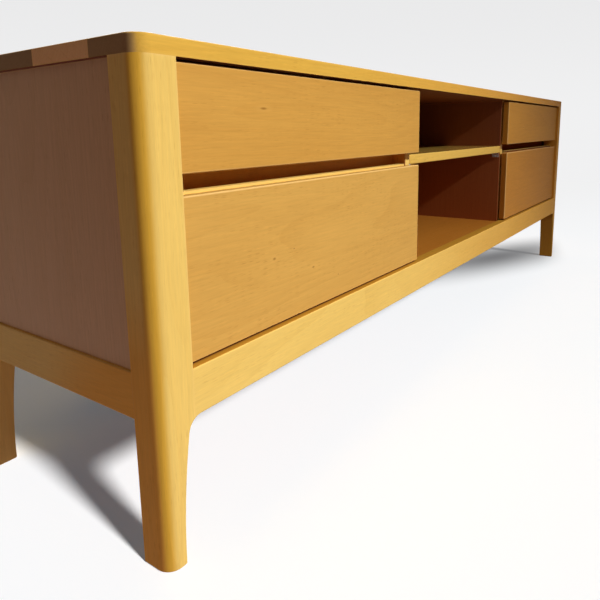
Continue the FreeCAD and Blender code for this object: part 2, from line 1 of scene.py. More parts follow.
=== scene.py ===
import bpy
import math
import numpy as np
from mathutils import Matrix, Vector


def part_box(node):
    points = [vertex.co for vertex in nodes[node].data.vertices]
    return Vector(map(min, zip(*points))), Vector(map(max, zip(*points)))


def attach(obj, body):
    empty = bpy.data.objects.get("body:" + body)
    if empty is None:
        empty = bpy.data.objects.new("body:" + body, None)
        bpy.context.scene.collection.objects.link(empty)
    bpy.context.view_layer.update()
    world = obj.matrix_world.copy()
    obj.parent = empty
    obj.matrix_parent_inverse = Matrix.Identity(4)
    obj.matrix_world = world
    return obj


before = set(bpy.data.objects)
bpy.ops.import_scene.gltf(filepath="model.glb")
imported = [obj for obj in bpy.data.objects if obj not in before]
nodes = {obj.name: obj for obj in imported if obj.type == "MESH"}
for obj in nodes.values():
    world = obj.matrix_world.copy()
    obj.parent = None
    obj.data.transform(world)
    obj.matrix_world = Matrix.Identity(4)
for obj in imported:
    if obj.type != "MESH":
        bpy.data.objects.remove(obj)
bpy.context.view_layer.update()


# Camera
# A short lens close to the near leg, a little below the top, looking along the front and slightly down.
# The picture's middle lies above the view's axis, so the lens is shifted a little.
camera_place = (-1.22757, -0.61849, 0.45906)
camera_right = Vector((0.57502, -0.81800, -0.01528))
camera_up = Vector((0.15036, 0.08729, 0.98477))
camera_back = Vector((-0.80421, -0.56856, 0.17319))
sensor_width = 36.0
focal_length = 33.2265
lens_shift = (-0.01742, -0.11769)
nearest_seen, farthest_seen = 0.02, 200.0

camera_data = bpy.data.cameras.new("camera")
camera_data.sensor_width = sensor_width
camera_data.lens = focal_length
camera_data.shift_x, camera_data.shift_y = lens_shift
camera_data.clip_start, camera_data.clip_end = nearest_seen, farthest_seen
camera_turn = Matrix((camera_right, camera_up, camera_back)).transposed().to_4x4()
camera = bpy.data.objects.new("camera", camera_data)
camera.matrix_world = Matrix.Translation(camera_place) @ camera_turn
bpy.context.scene.collection.objects.link(camera)
bpy.context.scene.camera = camera
bpy.context.scene.view_settings.view_transform = "Standard"


# Studio light
# A wide spot hangs in front of the middle and points down before the left end, so the right end lies in
# its soft rim. A lamp behind the right end lights the back, and a weak, warm light from all round fills
# the shadows.
spot_place = Vector((-0.044, -3.0, 2.42))
spot_aim = Vector((-1.06, -1.68, 0.0))
beam_width = math.radians(98.8)
spot_radius = 0.075
spot_power = 680.0
spot_colour = (1.0, 0.985, 0.95)
lamp_distance = 12.0
to_rear_lamp = Vector((0.75, 0.85, 0.60)).normalized()
rear_lamp_strength = 3.2
rear_lamp_angle = math.radians(25.0)
fill_colour = (1.0, 0.53, 0.34, 1.0)
fill_strength = 0.085
backdrop_low_colour = (0.875, 0.875, 0.88, 1.0)
backdrop_high_colour = (0.825, 0.825, 0.83, 1.0)
backdrop_high_rise = 0.22
mix_first, mix_second, mix_result = 6, 7, 2


def put(tree, kind, inputs=None, **settings):
    """Adds one shader node. Each input is a constant, or the output socket of another node."""
    made = tree.nodes.new("ShaderNode" + kind)
    for name, value in settings.items():
        setattr(made, name, value)
    for socket, value in (inputs or {}).items():
        if isinstance(value, bpy.types.NodeSocket):
            tree.links.new(value, made.inputs[socket])
        else:
            made.inputs[socket].default_value = value
    return made


def maths(tree, operation, *values):
    """The output of one Math node."""
    return put(tree, "Math", dict(enumerate(values)), operation=operation).outputs[0]


def vectors(tree, operation, *values):
    """The vector output of one Vector Math node."""
    return put(tree, "VectorMath", dict(enumerate(values)), operation=operation).outputs[0]


def eased(tree, value, start, end):
    """A value carried smoothly from 0 at the start to 1 at the end, and held outside them."""
    return put(tree, "MapRange", {"Value": value, "From Min": start, "From Max": end},
               interpolation_type="SMOOTHSTEP").outputs[0]


def mixed(tree, share, colour, other):
    """A colour, with a share of another one mixed into it, by the colour sockets of the Mix node."""
    made = put(tree, "Mix", {"Factor": share, mix_first: colour, mix_second: other}, data_type="RGBA")
    return made.outputs[mix_result]


def blended(tree, share, shader, other):
    """A shader node, with a share of another one in its place."""
    return put(tree, "MixShader", {0: share, 1: shader.outputs[0], 2: other.outputs[0]})


def bare_tree(owner):
    """The node tree of a world or material, emptied."""
    owner.use_nodes = True
    owner.node_tree.nodes.clear()
    return owner.node_tree


def seen_directly(tree):
    """1 for rays of the camera, of a mirror or through glass, which see the white backdrop."""
    path = put(tree, "LightPath")
    mirrored = maths(tree, "MAXIMUM", path.outputs["Is Camera Ray"], path.outputs["Is Glossy Ray"])
    return maths(tree, "MAXIMUM", mirrored, path.outputs["Is Transmission Ray"])


def aimed(name, kind, towards, place):
    """A lamp at a place whose light comes from the given side."""
    made = bpy.data.objects.new(name, bpy.data.lights.new(name, kind))
    turn = towards.to_track_quat("Z", "Y").to_matrix().to_4x4()
    made.matrix_world = Matrix.Translation(place) @ turn
    bpy.context.scene.collection.objects.link(made)
    return made


spot = aimed("soft_spot", "SPOT", (spot_place - spot_aim).normalized(), spot_place)
spot.data.energy = spot_power
spot.data.color = spot_colour
spot.data.shadow_soft_size = spot_radius
spot.data.spot_size = beam_width
spot.data.spot_blend = 1.0
spot.visible_camera = False
rear_lamp = aimed("rear_lamp", "SUN", to_rear_lamp, to_rear_lamp*lamp_distance)
rear_lamp.data.energy = rear_lamp_strength
rear_lamp.data.angle = rear_lamp_angle

world = bpy.data.worlds.new("white_backdrop")
tree = bare_tree(world)
rise = put(tree, "SeparateXYZ", {0: put(tree, "TexCoord").outputs["Generated"]}).outputs["Z"]
backdrop_colour = mixed(
    tree, eased(tree, rise, 0.0, backdrop_high_rise), backdrop_low_colour, backdrop_high_colour)
fill_light = put(tree, "Background", {"Color": fill_colour, "Strength": fill_strength})
backdrop = put(tree, "Background", {"Color": backdrop_colour, "Strength": 1.0})
either = blended(tree, seen_directly(tree), fill_light, backdrop)
put(tree, "OutputWorld", {"Surface": either.outputs[0]})
bpy.context.scene.world = world


# Floor
# A plain pale studio floor. A lamp from the front and a wide soft one from above light nothing else, so it
# is evenly white, keeps the stand's shadow and passes into the backdrop far away. It throws a little warm
# light back, most of it beside the left end, and a soft grey shadow is painted on it under the right end.
floor_first_ring = 0.05
floor_reach = 60.0
floor_rings, floor_spokes = 24, 48
floor_colour = (0.925, 0.925, 0.925, 1.0)
floor_glow_colour = (0.012, 0.054, 0.080, 1.0)
painted_floor_shadow_colour = (0.202, 0.202, 0.207, 1.0)
floor_shade_middle = (0.766, -0.029, 0.0)
floor_shade_reach = (0.80, 0.238, 1.0)
floor_shade_turn = (0.0, 0.0, math.radians(-21.5))
floor_shade_way = (-0.275, 1.0, 0.0)
floor_shade_front, floor_shade_full = -0.511, -0.389
floor_bounce_near_colour = (0.36, 0.278, 0.355, 1.0)
floor_bounce_far_colour = (0.06, 0.034, 0.024, 1.0)
floor_bounce_middle = (-1.3, -0.2, 0.0)
floor_bounce_start, floor_bounce_end = 0.3, 1.8
to_floor_lamp = Vector((-0.15, -1.0, 0.68)).normalized()
floor_lamp_strength = 5.07
floor_lamp_angle = math.radians(7.0)
to_floor_sky = Vector((0.0, 0.0, 1.0))
floor_sky_strength = 0.10
floor_sky_colour = (0.55, 0.90, 1.0)
floor_sky_angle = math.radians(150.0)
floor_middle = (-0.9, -0.4, 0.0)
floor_fade_start, floor_fade_end = 0.2, 5.0


def ring_quads(rings, spokes):
    """The points' numbers on a grid of rings and spokes, and the quads between each ring and the next."""
    number = np.arange(rings*spokes).reshape(rings, spokes)
    after = np.roll(number, -1, 1)
    quads = np.stack([number[:-1], number[1:], after[1:], after[:-1]], -1).reshape(-1, 4)
    return number, quads


def surface(name, points, faces):
    """A new object made of these points and faces."""
    mesh = bpy.data.meshes.new(name)
    mesh.from_pydata(points.tolist(), [], faces)
    made = bpy.data.objects.new(name, mesh)
    bpy.context.scene.collection.objects.link(made)
    return made


def disc(name, first_ring, reach, rings, spokes):
    """A flat disc: the point at ring r and turn t is (r cos t, r sin t, 0). Rings widen by one factor."""
    turn = np.arange(spokes)/spokes*2*math.pi
    r, t = np.meshgrid(np.geomspace(first_ring, reach, rings), turn, indexing="ij")
    points = np.stack([r*np.cos(t), r*np.sin(t), np.zeros_like(r)], -1).reshape(-1, 3)
    number, quads = ring_quads(rings, spokes)
    return surface(name, points, quads.tolist() + [number[0].tolist()])


def own_place(tree):
    """The place on the piece, in the stand's own frame."""
    return put(tree, "TexCoord").outputs["Object"]


def measure(tree, operation, *values):
    """The number that one Vector Math node gives."""
    return put(tree, "VectorMath", dict(enumerate(values)), operation=operation).outputs["Value"]


def away_from(tree, middle, start, end):
    """0 near a place and 1 far from it, with a smooth change between two distances."""
    return eased(tree, measure(tree, "DISTANCE", own_place(tree), middle), start, end)


floor = disc("floor", floor_first_ring, floor_reach, floor_rings, floor_spokes)
floor_paint = bpy.data.materials.new("pale_floor")
tree = bare_tree(floor_paint)
faded = away_from(tree, floor_middle, floor_fade_start, floor_fade_end)
dimmed = away_from(tree, floor_bounce_middle, floor_bounce_start, floor_bounce_end)
bounce_colour = mixed(tree, dimmed, floor_bounce_near_colour, floor_bounce_far_colour)
bounce = put(tree, "BsdfDiffuse", {"Color": bounce_colour})
painted = put(tree, "BsdfDiffuse", {"Color": floor_colour})
glow = put(tree, "Emission", {"Color": floor_glow_colour, "Strength": 1.0})
near_floor = put(tree, "AddShader", {0: painted.outputs[0], 1: glow.outputs[0]})
far_floor = put(tree, "Emission", {"Color": backdrop_low_colour, "Strength": 1.0})
even_floor = blended(tree, faded, near_floor, far_floor)
# Painted shadow: a soft grey patch under the right end, behind the front.
shade_place = put(tree, "Mapping", {
    "Vector": own_place(tree), "Location": floor_shade_middle,
    "Rotation": floor_shade_turn, "Scale": floor_shade_reach}, vector_type="TEXTURE").outputs[0]
from_shade = measure(tree, "LENGTH", shade_place)
behind_front = measure(tree, "DOT_PRODUCT", own_place(tree), floor_shade_way)
painted_shadow_share = maths(tree, "MULTIPLY", eased(tree, from_shade, 1.0, 0.0),
               eased(tree, behind_front, floor_shade_front, floor_shade_full))
shade = put(tree, "Emission", {"Color": painted_floor_shadow_colour, "Strength": 1.0})
shown = blended(tree, painted_shadow_share, even_floor, shade)
either = blended(tree, seen_directly(tree), bounce, shown)
put(tree, "OutputMaterial", {"Surface": either.outputs[0]})
floor.data.materials.append(floor_paint)

floor_lamp = aimed("floor_lamp", "SUN", to_floor_lamp, to_floor_lamp*lamp_distance)
floor_lamp.data.energy = floor_lamp_strength
floor_lamp.data.angle = floor_lamp_angle
floor_sky = aimed("floor_sky", "SUN", to_floor_sky, to_floor_sky*lamp_distance)
floor_sky.data.energy = floor_sky_strength
floor_sky.data.color = floor_sky_colour
floor_sky.data.angle = floor_sky_angle
only_floor = bpy.data.collections.new("lit_by_floor_lamps")
only_floor.objects.link(floor)
all_but_floor = bpy.data.collections.new("lit_by_stand_lamps")
all_but_floor.objects.link(floor)
all_but_floor.collection_objects[0].light_linking.link_state = "EXCLUDE"
for lamp in (floor_lamp, floor_sky):
    lamp.light_linking.receiver_collection = only_floor
for lamp in (spot, rear_lamp):
    lamp.light_linking.receiver_collection = all_but_floor


# Legs and rails
# Solid beech, golden under a thin satin oil. Painted shade makes it redder at the right end and beside the
# near foot, deeper on the legs' rounded corners and the sill, and dark where the drawers hide it. Its pale
# edges are a painted highlight.
# The rails are dowelled flush into the legs. The legs' grain runs up, that of each rail along it.
along_x, along_y, along_z = Vector((1, 0, 0)), Vector((0, 1, 0)), Vector((0, 0, 1))
half = (0.5, 0.5, 0.5)
sawn_start, sawn_full = 0.60, 0.95
leg_heart, rail_heart, side_rail_heart = (0.05, 0.16), (0.15, 0.02), (0.17, 0.03)
dowel_heart, dowel_shift = (0.10, 0.04), 1.0


def shader_group(name, inputs, outputs):
    """An empty shader node group with its inputs and outputs, each given with its kind of socket."""
    made = bpy.data.node_groups.new(name, "ShaderNodeTree")
    for direction, sockets in (("INPUT", inputs), ("OUTPUT", outputs)):
        for socket, kind in sockets.items():
            made.interface.new_socket(socket, in_out=direction, socket_type="NodeSocket" + kind)
    return made, made.nodes.new("NodeGroupInput").outputs, made.nodes.new("NodeGroupOutput").inputs


def toned(tree, colour, tone):
    """A colour times a tone."""
    return put(tree, "VectorMath", {0: colour, "Scale": tone}, operation="SCALE").outputs[0]


def beech_figure():
    """Beech as a solid, its grain along X and the tree's heart on the X axis, in metres.

    Rings: the distance from the wandering heart line over the ring width, darkest at the end of each ring.
    Rays: cells long along the radius, short along the grain and thin round the heart; some hold a dark
    fleck, others a pale one.
    Streaks, fibre and clouds: noise drawn out along the grain. End grain is darker where it faces along X.
    """
    made, given, left = shader_group(
        "beech_figure",
        {"Vector": "Vector", "Early Wood": "Color", "Late Wood": "Color", "Fleck Wood": "Color",
         "Ring Width": "Float", "Ring Share": "Float", "Fleck Share": "Float", "Cloud Share": "Float",
         "End Grain": "Float", "End Tone": "Float"},
        {"Colour": "Color", "Roughness": "Float", "Relief": "Float"})

    # Noise cells: their length along the grain, their width across it and the noise's detail
    wander_cell, cloud_cell, crowd_cell = (0.55, 0.09, 1.0), (0.34, 0.060, 2.0), (0.16, 0.035, 1.0)
    streak_cell, fibre_cell = (0.045, 0.0024, 1.0), (0.030, 0.0009, 2.0)

    def noise(along, across, detail):
        """Noise in cells of a length along the grain and a width across it."""
        place = vectors(made, "MULTIPLY", given["Vector"], (1/along, 1/across, 1/across))
        return put(made, "TexNoise", {"Vector": place, "Scale": 1.0, "Detail": detail}).outputs

    # Place: how far from the heart line, and how far round it
    wander_reach = (0.0, 0.034, 0.034)
    wander = vectors(made, "SUBTRACT", noise(*wander_cell)["Color"], half)
    heart = vectors(made, "MULTIPLY_ADD", wander, wander_reach, given["Vector"])
    part = put(made, "SeparateXYZ", {0: heart}).outputs
    across_square = maths(made, "MULTIPLY", part["Y"], part["Y"])
    radius = maths(made, "SQRT", maths(made, "MULTIPLY_ADD", part["Z"], part["Z"], across_square))
    turn = maths(made, "ARCTAN2", part["Z"], part["Y"])

    # Rings and clouds
    late_power, year_share = 2.5, 0.6
    cloud_start, cloud_full = 0.32, 0.70
    ring = maths(made, "DIVIDE", radius, given["Ring Width"])
    late = maths(made, "POWER", maths(made, "FRACT", ring), late_power)
    year = put(made, "TexWhiteNoise", {"W": maths(made, "FLOOR", ring)}, noise_dimensions="1D")
    year_and_late = maths(made, "MULTIPLY_ADD", year.outputs["Value"], year_share, late)
    ringed = maths(made, "MULTIPLY", year_and_late, given["Ring Share"])
    cloud = eased(made, noise(*cloud_cell)["Fac"], cloud_start, cloud_full)
    browned = maths(made, "MULTIPLY_ADD", cloud, given["Cloud Share"], ringed)

    # Rays, crowded in places
    ray_height, ray_thickness, ray_length, ray_radius = 0.0130, 0.0012, 0.030, 0.16
    crowd_start, crowd_full, crowd_share = 0.36, 0.66, 0.75
    spindle_rim, spindle_core = 0.50, 0.12
    fleck_power, pale_power = 2.0, 3.0
    ray_place = put(made, "CombineXYZ", {
        "X": maths(made, "DIVIDE", part["X"], ray_height),
        "Y": maths(made, "MULTIPLY", turn, ray_radius/ray_thickness),
        "Z": maths(made, "DIVIDE", radius, ray_length)}).outputs[0]
    ray = put(made, "TexVoronoi", {"Vector": ray_place, "Scale": 1.0}, feature="F1").outputs
    chance, pale_chance = put(made, "SeparateColor", {0: ray["Color"]}).outputs[:2]
    crowd = eased(made, noise(*crowd_cell)["Fac"], crowd_start, crowd_full)
    spindle = eased(made, ray["Distance"], spindle_rim, spindle_core)
    crowded = maths(made, "MULTIPLY", spindle,
                    maths(made, "MULTIPLY_ADD", crowd, crowd_share, 1 - crowd_share))
    fleck = maths(made, "MULTIPLY", crowded, maths(made, "POWER", chance, fleck_power))
    pale_ray = maths(made, "MULTIPLY", crowded, maths(made, "POWER", pale_chance, pale_power))
    pale = maths(made, "MULTIPLY", pale_ray, given["Fleck Share"])

    # Tone of the fibre and of sawn ends
    streak_tone, fibre_tone, pale_tone = 0.16, 0.12, 0.30
    streak = maths(made, "SUBTRACT", noise(*streak_cell)["Fac"], 0.5)
    fibre = maths(made, "SUBTRACT", noise(*fibre_cell)["Fac"], 0.5)
    tone = maths(made, "MULTIPLY_ADD", fibre, fibre_tone, 1.0)
    tone = maths(made, "MULTIPLY_ADD", streak, streak_tone, tone)
    tone = maths(made, "MULTIPLY_ADD", pale, pale_tone, tone)
    end_change = maths(made, "SUBTRACT", given["End Tone"], 1.0)
    end = maths(made, "MULTIPLY", eased(made, given["End Grain"], sawn_start, sawn_full), end_change)
    tone = maths(made, "MULTIPLY", tone, maths(made, "ADD", end, 1.0))

    # Colour, roughness and relief
    plain_rough, fibre_rough, fleck_rough, fleck_sink = 0.52, 0.20, 0.08, 0.5
    wood = mixed(made, browned, given["Early Wood"], given["Late Wood"])
    fleck_share = maths(made, "MULTIPLY", fleck, given["Fleck Share"])
    flecked = mixed(made, fleck_share, wood, given["Fleck Wood"])
    fibre_and_plain = maths(made, "MULTIPLY_ADD", fibre, fibre_rough, plain_rough)
    rough = maths(made, "MULTIPLY_ADD", fleck, fleck_rough, fibre_and_plain)
    relief = maths(made, "SUBTRACT", fibre, maths(made, "MULTIPLY", fleck, fleck_sink))
    for name, socket in (("Colour", toned(made, flecked, tone)), ("Roughness", rough), ("Relief", relief)):
        made.links.new(socket, left[name])
    return made


def eased_edges():
    """How near a place is to an edge of its board.

    The measure is the middle one of its distances from the three pairs of faces.
    """
    edge_reach, edge_core = 0.0026, 0.0004
    made, given, left = shader_group(
        "eased_edges", {"Vector": "Vector", "Low": "Vector", "High": "Vector"}, {"Edge": "Float"})
    inward = vectors(made, "MINIMUM", vectors(made, "SUBTRACT", given["Vector"], given["Low"]),
                     vectors(made, "SUBTRACT", given["High"], given["Vector"]))
    x, y, z = put(made, "SeparateXYZ", {0: inward}).outputs
    middle = maths(made, "MAXIMUM", maths(made, "MINIMUM", x, y),
                   maths(made, "MINIMUM", maths(made, "MAXIMUM", x, y), z))
    made.links.new(eased(made, middle, edge_reach, edge_core), left["Edge"])
    return made


beech = beech_figure()
edges = eased_edges()
turned_to_grain = {
    tuple(along_x): (0.0, 0.0, 0.0),
    tuple(along_y): (0.0, 0.0, -math.pi/2),
    tuple(along_z): (0.0, math.pi/2, 0.0),
}
wood_colours = ("Early Wood", "Late Wood", "Fleck Wood")
figure_values = wood_colours + ("Ring Width", "Ring Share", "Fleck Share", "Cloud Share", "End Tone")
relief_strength = 0.5
underside_start, underside_end = -0.6, -0.2


def board_place(tree, grain, heart):
    """The place on a board turned so that its grain lies along X, from a point of the tree's heart."""
    angles = turned_to_grain[tuple(grain)]
    turn = Matrix.Identity(3)
    for angle, axis in zip(angles, "XYZ"):
        turn = Matrix.Rotation(angle, 3, axis) @ turn
    return put(tree, "Mapping", {
        "Vector": own_place(tree), "Rotation": angles, "Location": -(turn @ heart)}).outputs[0]


def facing(tree, direction):
    """How squarely the surface faces a direction: 1 towards it, -1 away from it."""
    return measure(tree, "DOT_PRODUCT", put(tree, "TexCoord").outputs["Normal"], direction)


def oiled(name, specular, relief_depth):
    """An empty wood material with a satin finish, with the shader's plain values set."""
    made = bpy.data.materials.new(name)
    tree = bare_tree(made)
    shader = put(tree, "BsdfPrincipled", {"Specular IOR Level": specular})
    bump = put(tree, "Bump", {"Strength": relief_strength, "Distance": relief_depth})
    tree.links.new(bump.outputs[0], shader.inputs["Normal"])
    put(tree, "OutputMaterial", {"Surface": shader.outputs[0]})
    return made, tree, shader, bump


def dress(node, material):
    """Gives a CAD node its material."""
    slots = nodes[node].data.materials
    slots.clear()
    slots.append(material)


def over(tree, shader, share, colour):
    """Lays a share of another colour over the shader's colour."""
    under = shader.inputs["Base Color"].links[0].from_socket
    tree.links.new(mixed(tree, share, under, colour), shader.inputs["Base Color"])


def beech_board(node, grain, heart, shift, look):
    """Dresses one board in its own cut of beech, with a painted highlight along its edges, apart from those
    underneath.

    From the board's middle the tree's heart lies off by two lengths across the grain, in the order of the
    axes, and the cut is shifted by one along it.
    """
    low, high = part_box(node)
    heart_offset = list(heart)
    heart_offset.insert(tuple(grain).index(1), shift)
    material, tree, shader, bump = oiled(node + "_wood", look["specular"], look["relief"])
    figure = put(tree, "Group", {
        "Vector": board_place(tree, grain, (low + high)/2 + Vector(heart_offset)),
        "End Grain": maths(tree, "ABSOLUTE", facing(tree, grain)),
        **{value: look[value] for value in figure_values}}, node_tree=beech)
    rim = put(tree, "Group", {"Vector": own_place(tree), "Low": low, "High": high}, node_tree=edges)
    tree.links.new(figure.outputs["Colour"], shader.inputs["Base Color"])
    tree.links.new(figure.outputs["Roughness"], shader.inputs["Roughness"])
    tree.links.new(figure.outputs["Relief"], bump.inputs["Height"])
    not_below = eased(tree, facing(tree, along_z), underside_start, underside_end)
    # Painted highlight: paler edges, left off the faces that look down.
    highlit_edges = maths(tree, "MULTIPLY", rim.outputs["Edge"], not_below)
    over(tree, shader, maths(tree, "MULTIPLY", highlit_edges, look["edge highlight share"]), look["edge highlight wood"])
    dress(node, material)
    return tree, shader, figure


def woods(early, late, fleck):
    """The colours of a look: its early wood, its late wood and its dark flecks."""
    return {wood: (*colour, 1.0) for wood, colour in zip(wood_colours, (early, late, fleck))}


frame_beech = {
    **woods((0.89, 0.632, 0.174), (0.79, 0.518, 0.122), (0.57, 0.300, 0.064)),
    "Ring Width": 0.0038, "Ring Share": 0.24, "Fleck Share": 0.42, "Cloud Share": 0.24, "End Tone": 0.62,
    "edge highlight wood": (0.95, 0.660, 0.260, 1.0), "edge highlight share": 0.18, "specular": 0.03, "relief": 0.00010,
}
rail_look = {**frame_beech, "edge highlight share": 0.06}
# Painted shade: a redder, darker beech for the right end, also used beside the near foot and over the
# fronts.
red_shade_beech = {
    **frame_beech, **woods((0.92, 0.490, 0.078), (0.81, 0.395, 0.054), (0.58, 0.240, 0.031)),
    "edge highlight share": 0.10,
}
sill_shade_beech = woods((0.56, 0.280, 0.034), (0.49, 0.230, 0.026), (0.34, 0.150, 0.015))
rounding_shade_beech = woods((0.86, 0.510, 0.062), (0.76, 0.415, 0.044), (0.55, 0.255, 0.027))
# Painted shade: a dark brown for faces in deep shade.
dark_shade_beech = woods((0.16, 0.046, 0.015), (0.13, 0.037, 0.012), (0.09, 0.025, 0.008))
face_start, face_full = 0.80, 0.95
behind_start, behind_full = 0.0015, 0.0055
beside_softness = 0.002
rounding_start, rounding_full = 0.06, 0.34
right_shade_from, right_shade_to = -0.7, 0.7
foot_shade_place = (-0.9, -0.18, 0.10)
foot_shade_full, foot_shade_end = 0.11, 0.23


def other_face(tree, figure, share, look):
    """Gives a share of the board, such as one of its faces, the colours of another look."""
    for wood in wood_colours:
        socket = figure.inputs[wood]
        under = socket.links[0].from_socket if socket.is_linked else tuple(socket.default_value)
        tree.links.new(mixed(tree, share, under, look[wood]), socket)


def turned_towards(tree, direction):
    """1 on the faces that look in a direction, 0 on the others."""
    return eased(tree, facing(tree, direction), face_start, face_full)


def by_the_fronts(tree, direction):
    """1 on the faces that look in a direction over or under the drawer fronts, behind their outer faces."""
    low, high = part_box("lower_left_front")
    bay_half, outer_half, front = abs(high[0]), abs(low[0]), low[1]
    x, y = put(tree, "SeparateXYZ", {0: own_place(tree)}).outputs[:2]
    sideways = maths(tree, "ABSOLUTE", x)
    behind = eased(tree, y, front + behind_start, front + behind_full)
    beside = maths(tree, "MULTIPLY",
                   eased(tree, sideways, bay_half - beside_softness, bay_half + beside_softness),
                   eased(tree, sideways, outer_half + beside_softness, outer_half - beside_softness))
    return maths(tree, "MULTIPLY", turned_towards(tree, direction), maths(tree, "MULTIPLY", behind, beside))


def on_rounding(tree):
    """0 on flat faces, 1 on an upright rounded corner where it has turned well towards the side.

    The measure is the square of the sideways part of the normal, times its part to the front or back.
    """
    x, y = put(tree, "SeparateXYZ", {0: put(tree, "TexCoord").outputs["Normal"]}).outputs[:2]
    turned = maths(tree, "MULTIPLY", maths(tree, "MULTIPLY", x, x), maths(tree, "ABSOLUTE", y))
    return eased(tree, turned, rounding_start, rounding_full)


def to_the_right(tree):
    """0 at the stand's left end, growing smoothly to 1 at its right end."""
    x = put(tree, "SeparateXYZ", {0: own_place(tree)}).outputs["X"]
    return eased(tree, x, right_shade_from, right_shade_to)


def by_the_left_foot(tree):
    """1 on the outer side low on the front left leg, fading out above it and along the side rail."""
    near = away_from(tree, foot_shade_place, foot_shade_end, foot_shade_full)
    return maths(tree, "MULTIPLY", near, turned_towards(tree, -along_x))


for leg, shift, look in (("leg_front_left", 0.0, frame_beech), ("leg_front_right", 0.8, red_shade_beech),
                         ("leg_back_left", 1.7, frame_beech), ("leg_back_right", 2.6, red_shade_beech)):
    tree, _, figure = beech_board(leg, along_z, leg_heart, shift, look)
    # Painted shade: deeper, more saturated colour on the rounded corners where they turn away from the
    # light.
    other_face(tree, figure, on_rounding(tree), rounding_shade_beech)
    if leg == "leg_front_left":
        # Painted shade: redder low on the near leg's outer side.
        other_face(tree, figure, by_the_left_foot(tree), red_shade_beech)
for rail, shift in (("front_rail", 0.4), ("back_rail", 3.1)):
    tree, _, figure = beech_board(rail, along_x, rail_heart, shift, rail_look)
    # Painted shade: redder towards the right end.
    other_face(tree, figure, to_the_right(tree), red_shade_beech)
    if rail == "front_rail":
        # Painted shade: the rail's top face is darker than its lit front face.
        other_face(tree, figure, turned_towards(tree, along_z), sill_shade_beech)
        # Painted shade: dark on the sill behind the drawer fronts.
        other_face(tree, figure, by_the_fronts(tree, along_z), dark_shade_beech)
for rail, shift, look in (("side_rail_left", 0.2, frame_beech), ("side_rail_right", 1.9, red_shade_beech)):
    tree, _, figure = beech_board(rail, along_y, side_rail_heart, shift, look)
    # Painted shade: redder beside the near foot.
    other_face(tree, figure, by_the_left_foot(tree), red_shade_beech)
beech_board("rail_dowels", along_x, dowel_heart, dowel_shift, frame_beech)


# Top and shelf
# Solid beech glued up from staves that run the whole length, a little deeper in tone than the legs.
# The top lies flush on the legs, the shelf rests loose on its four supports.
# Both are polished above and painted dark below as shade, and the top carries a redder painted shade towards
# its right end.
glued_heart = (0.069, 0.14)
stave_width = 0.100
stave_shift = (6.0, 0.10, 0.06)
face_tone_reach, end_tone_reach = 0.14, 1.55
joint_rim, joint_core, joint_share = 0.0007, 0.0001, 0.35
upward_start, upward_full = 0.85, 0.98
top_seed, shelf_seed = 2.0, 17.0
top_polish, shelf_polish = (0.15, 0.32), (1.0, 0.10)


def glued_staves():
    """A board glued up from staves along X: the place across it over a stave's width numbers the staves.

    Each stave is cut from its own part of the tree and has its own tone, which shows most on the sawn ends.
    A thin dark line lies at each joint.
    """
    made, given, left = shader_group(
        "glued_staves", {"Vector": "Vector", "Stave Width": "Float", "Seed": "Float", "End Grain": "Float"},
        {"Vector": "Vector", "Tone": "Float", "Joint": "Float"})
    y = put(made, "SeparateXYZ", {0: given["Vector"]}).outputs["Y"]
    across = maths(made, "DIVIDE", y, given["Stave Width"])
    number = maths(made, "FLOOR", across)
    drawn = maths(made, "ADD", number, given["Seed"])
    draw = put(made, "TexWhiteNoise", {"W": drawn}, noise_dimensions="1D").outputs
    shift = vectors(made, "MULTIPLY", vectors(made, "SUBTRACT", draw["Color"], half), stave_shift)
    sawn = eased(made, given["End Grain"], sawn_start, sawn_full)
    reach = maths(made, "MULTIPLY_ADD", sawn, end_tone_reach, face_tone_reach)
    tone = maths(made, "MULTIPLY_ADD", maths(made, "SUBTRACT", draw["Value"], 0.5), reach, 1.0)
    inside = maths(made, "SUBTRACT", across, number)
    nearest = maths(made, "MINIMUM", inside, maths(made, "SUBTRACT", 1.0, inside))
    to_joint = maths(made, "MULTIPLY", nearest, given["Stave Width"])
    for name, socket in (("Vector", vectors(made, "ADD", given["Vector"], shift)), ("Tone", tone),
                         ("Joint", eased(made, to_joint, joint_rim, joint_core))):
        made.links.new(socket, left[name])
    return made


staves = glued_staves()


def glue_up(tree, shader, figure, seed, joint_wood):
    """Cuts the board's figure into staves of different tone, with a line of darker wood at each joint."""
    whole = figure.inputs["Vector"].links[0].from_socket
    sawn = figure.inputs["End Grain"].links[0].from_socket
    glued = put(tree, "Group", {
        "Vector": whole, "Stave Width": stave_width, "Seed": seed, "End Grain": sawn},
        node_tree=staves).outputs
    tree.links.new(glued["Vector"], figure.inputs["Vector"])
    plain = shader.inputs["Base Color"].links[0].from_socket
    tree.links.new(toned(tree, plain, glued["Tone"]), shader.inputs["Base Color"])
    over(tree, shader, maths(tree, "MULTIPLY", glued["Joint"], joint_share), joint_wood)


def polish_above(tree, shader, weight, roughness):
    """A clear coat on the faces that look up."""
    shader.inputs["Coat Roughness"].default_value = roughness
    upward = eased(tree, facing(tree, along_z), upward_start, upward_full)
    tree.links.new(maths(tree, "MULTIPLY", upward, weight), shader.inputs["Coat Weight"])


top_beech = {
    **frame_beech, **woods((0.82, 0.500, 0.082), (0.72, 0.400, 0.058), (0.48, 0.240, 0.036)),
    "edge highlight wood": (0.88, 0.585, 0.155, 1.0), "End Tone": 0.90,
}
